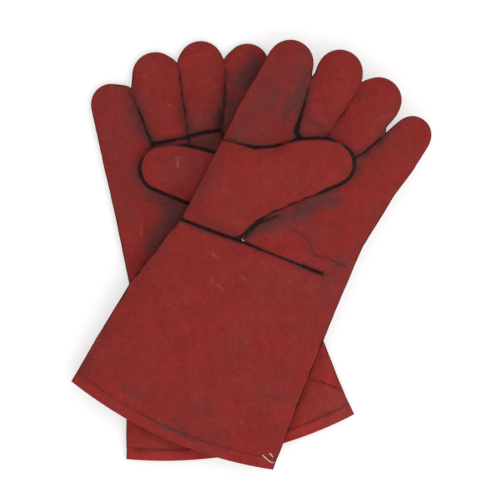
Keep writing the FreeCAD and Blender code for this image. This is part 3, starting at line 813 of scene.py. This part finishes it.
def thicken(piece, layer):
    # Gives a skin a layer's place and thickness, and keeps the whole skin's shading so that no join shows.
    surface = coordinates(piece.data)
    inward = attributeOf(piece, "inner", 3) - surface
    top, bottom = (share / walls["deep"] for share in walls[layer])
    outer, below = surface + inward * top, surface + inward * bottom
    mesh = bmesh.new()
    mesh.from_mesh(piece.data)
    originals = list(mesh.verts)
    rims = [edge for edge in mesh.edges if edge.is_boundary]
    for vert, place in zip(originals, outer):
        vert.co = place
    made = bmesh.ops.duplicate(mesh, geom=mesh.verts[:] + mesh.edges[:] + mesh.faces[:])
    doubles = made["vert_map"]
    for vert, place in zip(originals, below):
        doubles[vert].co = place
    faces = [item for item in made["geom"] if isinstance(item, bmesh.types.BMFace)]
    bmesh.ops.reverse_faces(mesh, faces=faces)
    panel = mesh.faces.layers.int["panel"]
    for edge in rims:
        first, second = edge.verts
        if edge.link_loops[0].vert == first:
            first, second = second, first
        mesh.faces.new((first, second, doubles[second], doubles[first]))[panel] = walls["rim"]
    mesh.to_mesh(piece.data)
    mesh.free()
    count = len(piece.data.polygons)
    loops, totals, panels = np.empty(len(piece.data.loops), int), np.empty(count, int), np.empty(count, int)
    piece.data.loops.foreach_get("vertex_index", loops)
    piece.data.polygons.foreach_get("loop_total", totals)
    piece.data.attributes["panel"].data.foreach_get("value", panels)
    owner = np.repeat(np.arange(count), totals)
    faceNormals = np.empty(count * 3)
    piece.data.polygons.foreach_get("normal", faceNormals)
    faceNormals = faceNormals.reshape(-1, 3)[owner]
    way = attributeOf(piece, "lean", 3)[loops]
    facing = np.sum(way * faceNormals, axis=1)
    rim = panels[owner] == walls["rim"]
    normals = np.where(rim[:, None], faceNormals, np.where(facing[:, None] > 0, way, -way))
    piece.data.polygons.foreach_set("use_smooth", np.ones(count, bool))
    piece.data.normals_split_custom_set(normals.tolist())


def finish(piece, material, slot, bodies, nodes, bend=None):
    piece.data.materials.clear()
    piece.data.materials.append(material)
    if bend is not None:
        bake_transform(piece, *bodies, start=bend[0], end=bend[1])
    else:
        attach(piece, bodies[0])
    if nodes:
        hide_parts(*nodes)
    return piece


def seamPath(piece, pairs):
    # The vertices along the edges where one panel meets another, in order, with their outward directions.
    mesh = bmesh.new()
    mesh.from_mesh(piece.data)
    layer = mesh.faces.layers.int["panel"]
    wanted = {frozenset(pair) for pair in pairs}
    edges = [edge for edge in mesh.edges if len(edge.link_faces) == 2
             and frozenset(face[layer] for face in edge.link_faces) in wanted]
    lean, rest = attributeOf(piece, "lean", 3), attributeOf(piece, "rest", 3)
    links = {}
    for edge in edges:
        for vert in edge.verts:
            links.setdefault(vert, []).append(edge)
    ends = [vert for vert, found in links.items() if len(found) == 1]
    runs, used = [], set()
    for start in ends + list(links):
        vert, run = start, [start]
        while True:
            onward = [edge for edge in links[vert] if edge not in used]
            if not onward:
                break
            used.add(onward[0])
            vert = onward[0].other_vert(vert)
            run.append(vert)
        if len(run) > 3:
            runs.append([(np.array(vert.co), lean[vert.index], rest[vert.index]) for vert in run])
    mesh.free()
    return runs


def strip(name, runs, proud, deep, half):
    # A narrow rounded strip along each run of points: the edge of a welt standing out of its seam.
    ring = [(-deep, -half), (proud - half * 0.6, -half), (proud, -half * 0.4), (proud, half * 0.4),
            (proud - half * 0.6, half), (-deep, half)]
    mesh = bmesh.new()
    layer = mesh.verts.layers.float_vector.new("rest")
    for run in runs:
        places = np.array([item[0] for item in run])
        out = np.array([item[1] for item in run], float)
        ahead = np.gradient(places, axis=0)
        ahead /= np.maximum(np.linalg.norm(ahead, axis=1, keepdims=True), 1e-9)
        out -= ahead * np.sum(out * ahead, axis=1, keepdims=True)
        out /= np.maximum(np.linalg.norm(out, axis=1, keepdims=True), 1e-9)
        up = np.cross(ahead, out)
        count = len(run)
        made = bmesh.ops.create_grid(mesh, x_segments=count - 1, y_segments=len(ring), size=0.5)["verts"]
        for vert in made:
            step = round((vert.co.x + 0.5) * (count - 1))
            turn = round((vert.co.y + 0.5) * len(ring)) % len(ring)
            reach, height = ring[turn]
            vert.co = places[step] + out[step] * reach * mm + up[step] * height * mm
            vert[layer] = run[step][2]
    bmesh.ops.remove_doubles(mesh, verts=mesh.verts, dist=0.00001)
    ends = [edge for edge in mesh.edges if edge.is_boundary]
    if ends:
        bmesh.ops.holes_fill(mesh, edges=ends, sides=8)
    bmesh.ops.recalc_face_normals(mesh, faces=mesh.faces)
    for face in mesh.faces:
        face.smooth = True
    piece = makeObject(name, mesh)
    mesh.free()
    return piece


class Wire:
    # A socket in a material that sums can be written with.
    def __init__(self, look, socket):
        self.look, self.socket = look, socket

    def calculate(self, operation, first, second):
        return self.look.add("ShaderNodeMath", {"operation": operation}, {0: first, 1: second})

    def __add__(self, other):
        return self.calculate("ADD", self, other)

    def __sub__(self, other):
        return self.calculate("SUBTRACT", self, other)

    def __mul__(self, other):
        return self.calculate("MULTIPLY", self, other)

    def __truediv__(self, other):
        return self.calculate("DIVIDE", self, other)

    def __pow__(self, other):
        return self.calculate("POWER", self, other)

    def __radd__(self, other):
        return self.calculate("ADD", other, self)

    def __rsub__(self, other):
        return self.calculate("SUBTRACT", other, self)

    def __rmul__(self, other):
        return self.calculate("MULTIPLY", other, self)

    def __rtruediv__(self, other):
        return self.calculate("DIVIDE", other, self)

    def ramp(self, low, high):
        settings = {"interpolation_type": "SMOOTHSTEP", "clamp": True}
        values = {"Value": self, "From Min": low, "From Max": high}
        return self.look.add("ShaderNodeMapRange", settings, values)


class Look:
    # A material, and the one way that nodes are added to it.
    def __init__(self, name):
        self.material = bpy.data.materials.new(name)
        self.material.use_nodes = True
        self.tree = self.material.node_tree
        self.tree.nodes.clear()

    def add(self, kind, settings=None, values=None, output=0):
        node = self.tree.nodes.new(kind)
        for key, value in (settings or {}).items():
            setattr(node, key, value)
        for key, value in (values or {}).items():
            if isinstance(value, Wire):
                self.tree.links.new(value.socket, node.inputs[key])
            else:
                node.inputs[key].default_value = value
        return Wire(self, node.outputs[output]) if node.outputs else None

    def number(self, name):
        # one of the skin's own values at each point
        return self.add("ShaderNodeAttribute", {"attribute_name": name}, output=2)

    def rest(self):
        # where each point was before the gloves were laid down, which keeps a pattern on the leather
        return self.add("ShaderNodeAttribute", {"attribute_name": "rest"}, output=1)

    def wave(self, place, direction, scale, distortion=0.0):
        values = {"Vector": place, "Scale": scale, "Distortion": distortion}
        return self.add("ShaderNodeTexWave", {"bands_direction": direction}, values)

    def bump(self, height, strength, distance):
        values = {"Strength": strength, "Distance": distance, "Height": height}
        return self.add("ShaderNodeBump", {}, values)

    def noise(self, place, scale, detail=4.0, roughness=0.6):
        values = {"Vector": place, "Scale": scale, "Detail": detail, "Roughness": roughness}
        return self.add("ShaderNodeTexNoise", {}, values)

    def mix(self, factor, first, second):
        return self.add("ShaderNodeMix", {"data_type": "RGBA"}, {"Factor": factor, 6: first, 7: second}, 2)

    def shade(self, colour, factor):
        # the colour made lighter or darker
        tone = self.add("ShaderNodeCombineXYZ", {}, {0: factor, 1: factor, 2: factor})
        settings = {"data_type": "RGBA", "blend_type": "MULTIPLY"}
        return self.add("ShaderNodeMix", settings, {"Factor": 1.0, 6: colour, 7: tone}, 2)

    def surface(self, values):
        shader = self.add("ShaderNodeBsdfPrincipled", {}, values)
        self.add("ShaderNodeOutputMaterial", None, {"Surface": shader})
        return self.material


suede = {
    "clean": (0.302, 0.0232, 0.0195, 1.0),
    "handled": (0.212, 0.034, 0.030, 1.0),
    "scuff": (0.46, 0.135, 0.105, 1.0),
    # the colour of grime, and of painted shade and shadow
    "grimeAndShade": (0.092, 0.032, 0.031, 1.0),
    # the near-black of painted shade in seams and creases
    "seamAndCreaseShadeColour": (0.012, 0.006, 0.006, 1.0),
    "sheen": 0.1,
    "roughness": 0.9,
}


def suedeLook(name, tone=1.0):
    look = Look(name)
    rest = look.rest()
    seamAndCreaseShade, grimeAndShade, mouth = look.number("seamAndCreaseShade"), look.number("shadowAndGrime"), look.number("mouth")
    cloudy = look.noise(rest, 22.0, 3.0)
    patchy = look.noise(rest, 48.0, 4.0, 0.6)
    mottled = look.noise(rest, 130.0, 5.0, 0.62)
    speckled = look.noise(rest, 420.0, 4.0, 0.65)
    fuzz = look.noise(rest, 1700.0, 2.0, 0.6)
    colour = look.mix(cloudy.ramp(0.4, 0.75) * 0.55, suede["clean"], suede["handled"])
    # grime and painted shadow darken the colour
    dirtAndShade = (grimeAndShade * (0.35 + 1.3 * patchy.ramp(0.3, 0.7))).ramp(0.0, 1.1)
    colour = look.mix(dirtAndShade * 0.8, colour, suede["grimeAndShade"])
    rubbed = look.number("pale") * speckled.ramp(0.3, 0.55)
    scuffs = speckled.ramp(0.6, 0.74) * patchy.ramp(0.52, 0.7) + rubbed
    colour = look.mix(scuffs * 0.5, colour, suede["scuff"])
    light = 1.0 + 0.5 * (mottled - 0.5) + 0.5 * (patchy - 0.5) + 0.6 * (speckled - 0.5) + 0.5 * (fuzz - 0.5)
    drawn = look.add("ShaderNodeVectorMath", {"operation": "MULTIPLY"}, {0: rest, 1: (0.25, 1.0, 1.0)})
    streaks = look.noise(drawn, 800.0)
    # where the grime-and-shadow value is negative, painted light lifts the colour
    light = light + 0.35 * (streaks - 0.5) + 0.2 * (0.0 - grimeAndShade).ramp(0.0, 1.0)
    light = light * (1.1 - 0.1 * mouth.ramp(9.0, 10.5))
    colour = look.shade(colour, light * tone)
    ragged = 1.0 + 1.3 * (mottled - 0.5) + 0.9 * (speckled - 0.5)
    # seams and creases darkened with painted shade
    colour = look.mix((seamAndCreaseShade * ragged).ramp(0.28, 0.95), colour, suede["seamAndCreaseShadeColour"])
    normal = look.bump(0.9 * mottled + 0.55 * speckled + 0.22 * fuzz, 0.8, 0.0011)
    return look.surface({
        "Base Color": colour, "Roughness": suede["roughness"] - 0.12 * scuffs, "Normal": normal,
        "Sheen Weight": suede["sheen"], "Sheen Roughness": 0.5, "Sheen Tint": (0.9, 0.45, 0.4, 1.0),
        "Specular IOR Level": 0.25,
    })


def threadLook(name, colour):
    look = Look(name)
    twist = look.wave(look.rest(), "DIAGONAL", 900.0, 1.0)
    normal = look.bump(twist, 0.5, 0.0002)
    tone = look.shade(colour, 0.8 + 0.3 * twist)
    roughness = 0.7 + 0.1 * twist
    return look.surface({"Base Color": tone, "Roughness": roughness, "Normal": normal, "Sheen Weight": 0.2})


def liningLook():
    look = Look("lining_cotton")
    rest = look.rest()
    across, along = look.wave(rest, "X", 260.0), look.wave(rest, "Y", 260.0)
    worn = look.noise(rest, 60.0)
    colour = look.mix(worn.ramp(0.3, 0.75), (0.62, 0.56, 0.45, 1.0), (0.50, 0.43, 0.33, 1.0))
    colour = look.shade(colour, 0.75 + 0.25 * across * along)
    normal = look.bump(across + along, 0.6, 0.0004)
    roughness = 0.85 + 0.1 * worn
    return look.surface({"Base Color": colour, "Roughness": roughness, "Normal": normal, "Sheen Weight": 0.2})


# the welt leather is the same suede at 0.12 of its brightness: painted shade standing in for the dark of the
# seam grooves
leather, weltShadeLeather = suedeLook("red_split_leather"), suedeLook("welt_leather", 0.12)
cotton = liningLook()
redThread = threadLook("red_thread", (0.16, 0.02, 0.018, 1.0))
paleThread = threadLook("pale_thread", (0.78, 0.68, 0.62, 1.0))

weltShape = {"proud": 0.3, "deep": 1.0, "half": 0.6}
bendOver = {"finger": 26, "thumb": 30}     # how far from a root its leather still bends, millimetres
roomy = ("room", walls["room"], endless)


def layerOf(skin, panels, node, layer, bodies, bend=None, bands=()):
    # Some panels of a skin as one layer of the glove.
    kind, look, slot = "leather", leather, "red_leather"
    if layer == "cloth":
        kind, look, slot = "cloth", cotton, "lining_cloth"
    piece = cut(skin, panels, f"{kind}_{node}", bands)
    thicken(piece, layer)
    finish(piece, look, slot, bodies, [node], bend)


def weltOf(skin, pairs, node, bodies, bend=None, proud=weltShape["proud"]):
    # The welt where panels meet, in the near-black welt leather that stands for the seam's shade.
    piece = strip(f"leather_{node}", seamPath(skin, pairs), **dict(weltShape, proud=proud))
    finish(piece, weltShadeLeather, "welt_leather", bodies, [node], bend)


def makeHand(glove, skin):
    # The hand and cuff, which stay on the glove's own body.
    hand, bodies = glove.hand, (f"{glove.hand}_glove",)
    for panel, node in ((4, "hand_palm"), (10, "hand_back"), (5, "cuff_front"), (11, "cuff_back")):
        layerOf(skin, {panel}, f"{hand}_{node}", "leather", bodies)
    aboveHem = ("mouth", hem["deep"] + 1.0, endless)
    layerOf(skin, {4, 10}, f"{hand}_hand_lining", "cloth", bodies, bands=(roomy,))
    layerOf(skin, {5, 11}, f"{hand}_cuff_lining", "cloth", bodies, bands=(aboveHem, roomy))
    layerOf(skin, {5, 11}, f"{hand}_cuff_hem", "hem", bodies, bands=(("mouth", 0.0, hem["deep"]),))
    weltOf(skin, [(4, 10)], f"{hand}_hand_side_welts", bodies)
    weltOf(skin, [(5, 11)], f"{hand}_cuff_side_welts", bodies)
    weltOf(skin, [(4, 5), (10, 11)], f"{hand}_wrist_welt", bodies, proud=-0.1)


def makeFingers(glove, skin):
    hand, bases, knuckle = glove.hand, glove.shape["bases"], glove.shape["radial"][-1][0]
    for count, finger in enumerate(fingerNames):
        bodies, label = (f"{hand}_glove", f"{hand}_{finger}_finger"), f"{hand}_{finger}"
        middle = (bases[count] + bases[count + 1]) / 2
        bend = glove.world([(middle, knuckle, 0), (middle, knuckle + bendOver["finger"], 0)])
        for panel, side in ((count, "front"), (count + 6, "back")):
            layerOf(skin, {panel}, f"{label}_{side}", "leather", bodies, bend)
        layerOf(skin, {count, count + 6}, f"{label}_lining", "cloth", bodies, bend, (roomy,))
        weltOf(skin, [(count, count + 6)], f"{label}_welt", bodies, bend)


def makeThumb(glove, skin):
    hand, bodies = glove.hand, (f"{glove.hand}_glove", f"{glove.hand}_thumb")
    low, high = (np.array(glove.shape[edge][0]) for edge in ("thumbLow", "thumbHigh"))
    root, along = (low + high) / 2, high - low
    inward = np.array((along[1], -along[0])) / np.linalg.norm(along)
    bend = glove.world([(*root, 0), (*(root + bendOver["thumb"] * inward), 0)])
    for panel, node in ((0, "thumb_outer"), (1, "thumb_inner")):
        layerOf(skin, {panel}, f"{hand}_{node}", "leather", bodies, bend)
    layerOf(skin, {0, 1}, f"{hand}_thumb_lining", "cloth", bodies, bend, (("away", 9.0, endless), roomy))
    weltOf(skin, [(0, 1)], f"{hand}_thumb_welt", bodies, bend)


stitch = {"long": 2.6, "apart": 3.7, "thick": 0.5, "inset": 9.6, "lift": 0.1}
tail = {"thick": 1.0, "beads": 4, "overlap": 0.15, "lift": 0.35}
tails = {
    # loose ends of thread, as points on the palm side
    "left": (
        ((64.2, -172.2), (68.4, -173.9), (73.0, -175.5), (75.6, -174.9)),
        ((69.5, -168.4), (71.6, -169.3), (73.3, -170.6)),
        ((-22.6, 1.9), (-21.6, 0.9), (-20.6, 1.1)),
    ),
    "right": (),
}


def bead(mesh, start, end, thick, rest, layer):
    # One stitch: a thread's short round length, capped at both ends.
    run = end - start
    matrix = Vector(run).to_track_quat("Z", "Y").to_matrix().to_4x4()
    matrix.translation = Vector((start + end) / 2)
    made = bmesh.ops.create_cone(mesh, cap_ends=True, segments=6, radius1=thick / 2, radius2=thick / 2,
                                 depth=float(np.linalg.norm(run)), matrix=matrix)["verts"]
    for vert in made:
        vert[layer] = rest


def makeStitches(glove, skin):
    # Thread along the hem on both sides of the cuff, and the pale ends left hanging.
    tree = BVHTree.FromObject(skin, bpy.context.evaluated_depsgraph_get())
    low, high = glove.shape["radial"][0][1], glove.shape["ulnar"][0][1]
    wide, body = high - low, f"{glove.hand}_glove"

    def onSurface(x, y, side, lift):
        above = glove.world([(x, y, 60.0 * side)])[0]
        found = tree.ray_cast(Vector(above), Vector((0, 0, -side)))[0]
        return None if found is None else np.array(found) + np.array((0, 0, side * lift * mm))

    mesh = bmesh.new()
    layer = mesh.verts.layers.float_vector.new("rest")
    for side in (1, -1):
        for count in range(2, int(wide / stitch["apart"]) - 1):
            ends = []
            for run in (0.0, stitch["long"]):
                share = (count * stitch["apart"] + run) / wide
                x, y = low + wide * share, mouthY(glove.shape, share) + stitch["inset"]
                ends.append(onSurface(x, y, side, stitch["lift"]))
            if all(end is not None for end in ends):
                bead(mesh, *ends, stitch["thick"] * mm, Vector(ends[0]), layer)
    finish(makeObject(f"thread_{glove.hand}_hem", mesh), redThread, "lining_cloth", (body,), [])
    mesh.free()
    mesh = bmesh.new()
    layer = mesh.verts.layers.float_vector.new("rest")
    for loose in tails[glove.hand]:
        places = [onSurface(x, y, 1, tail["lift"]) for x, y in loose]
        if any(place is None for place in places):
            continue
        for start, end in zip(places, places[1:]):
            for step in range(tail["beads"]):
                near, far = step / tail["beads"], (step + 1 + tail["overlap"]) / tail["beads"]
                run = end - start
                bead(mesh, start + run * near, start + run * far, tail["thick"] * mm, Vector(start), layer)
    if mesh.verts:
        finish(makeObject(f"thread_{glove.hand}_tails", mesh), paleThread, "lining_cloth", (body,), [])
    mesh.free()


for hand in ("right", "left"):
    glove = GloveFrame(hand)
    skin, thumbSkin = makeSkin(glove, "glove"), makeSkin(glove, "thumb")
    print(hand, "skins", len(skin.data.vertices), len(thumbSkin.data.vertices))
    makeHand(glove, skin)
    makeFingers(glove, skin)
    makeThumb(glove, thumbSkin)
    makeStitches(glove, skin)
    bpy.data.objects.remove(skin)
    bpy.data.objects.remove(thumbSkin)
    print(hand, "pieces made")

stage = {
    "floor": (0.8, 0.8, 0.8, 1.0),
    "floorSize": 3.0,
    "floorHeight": -0.0005,
    "glow": 0.47,            # what the floor adds to the light it returns, so that it shows white
    "world": 0.55,
    "overhead": 11.4,
    "lampSize": 1.9,
    "lampPlace": (0.42, -0.3, 1.5),
    "cameraPlace": (-0.0007, 0.0036, 8.0),     # far off, so that what is low doesn't look smaller
    "lens": 640.0,
    "sensor": 36.0,
    "farthest": 20.0,
}
floorMesh = bmesh.new()
bmesh.ops.create_grid(floorMesh, x_segments=1, y_segments=1, size=stage["floorSize"])
floor = makeObject("floor", floorMesh)
floorMesh.free()
floorLook = Look("white_floor")
seen = floorLook.add("ShaderNodeLightPath", output=0)
glow = floorLook.mix(seen, (0.0, 0.0, 0.0, 1.0), (1.0, 1.0, 1.0, 1.0))
floor.data.materials.append(floorLook.surface({
    "Base Color": stage["floor"], "Roughness": 1.0, "Specular IOR Level": 0.0,
    "Emission Color": glow, "Emission Strength": stage["glow"],
}))
floor.location.z = stage["floorHeight"]

world = bpy.data.worlds.new("soft")
bpy.context.scene.world = world
world.use_nodes = True
world.node_tree.nodes["Background"].inputs[0].default_value = (1.0, 1.0, 1.0, 1.0)
world.node_tree.nodes["Background"].inputs[1].default_value = stage["world"]

lamp = bpy.data.lights.new("overhead", "AREA")
lamp.energy, lamp.size = stage["overhead"], stage["lampSize"]
lampPlace = bpy.data.objects.new("overhead", lamp)
lampPlace.location = stage["lampPlace"]
lampPlace.rotation_euler = (-lampPlace.location).to_track_quat("-Z", "Y").to_euler()
bpy.context.scene.collection.objects.link(lampPlace)

camera = bpy.data.cameras.new("camera")
camera.lens, camera.sensor_width, camera.clip_end = stage["lens"], stage["sensor"], stage["farthest"]
cameraPlace = bpy.data.objects.new("camera", camera)
cameraPlace.location = stage["cameraPlace"]
bpy.context.scene.collection.objects.link(cameraPlace)
bpy.context.scene.camera = cameraPlace
bpy.context.scene.view_settings.view_transform = "Standard"
print("floor, light and camera placed")
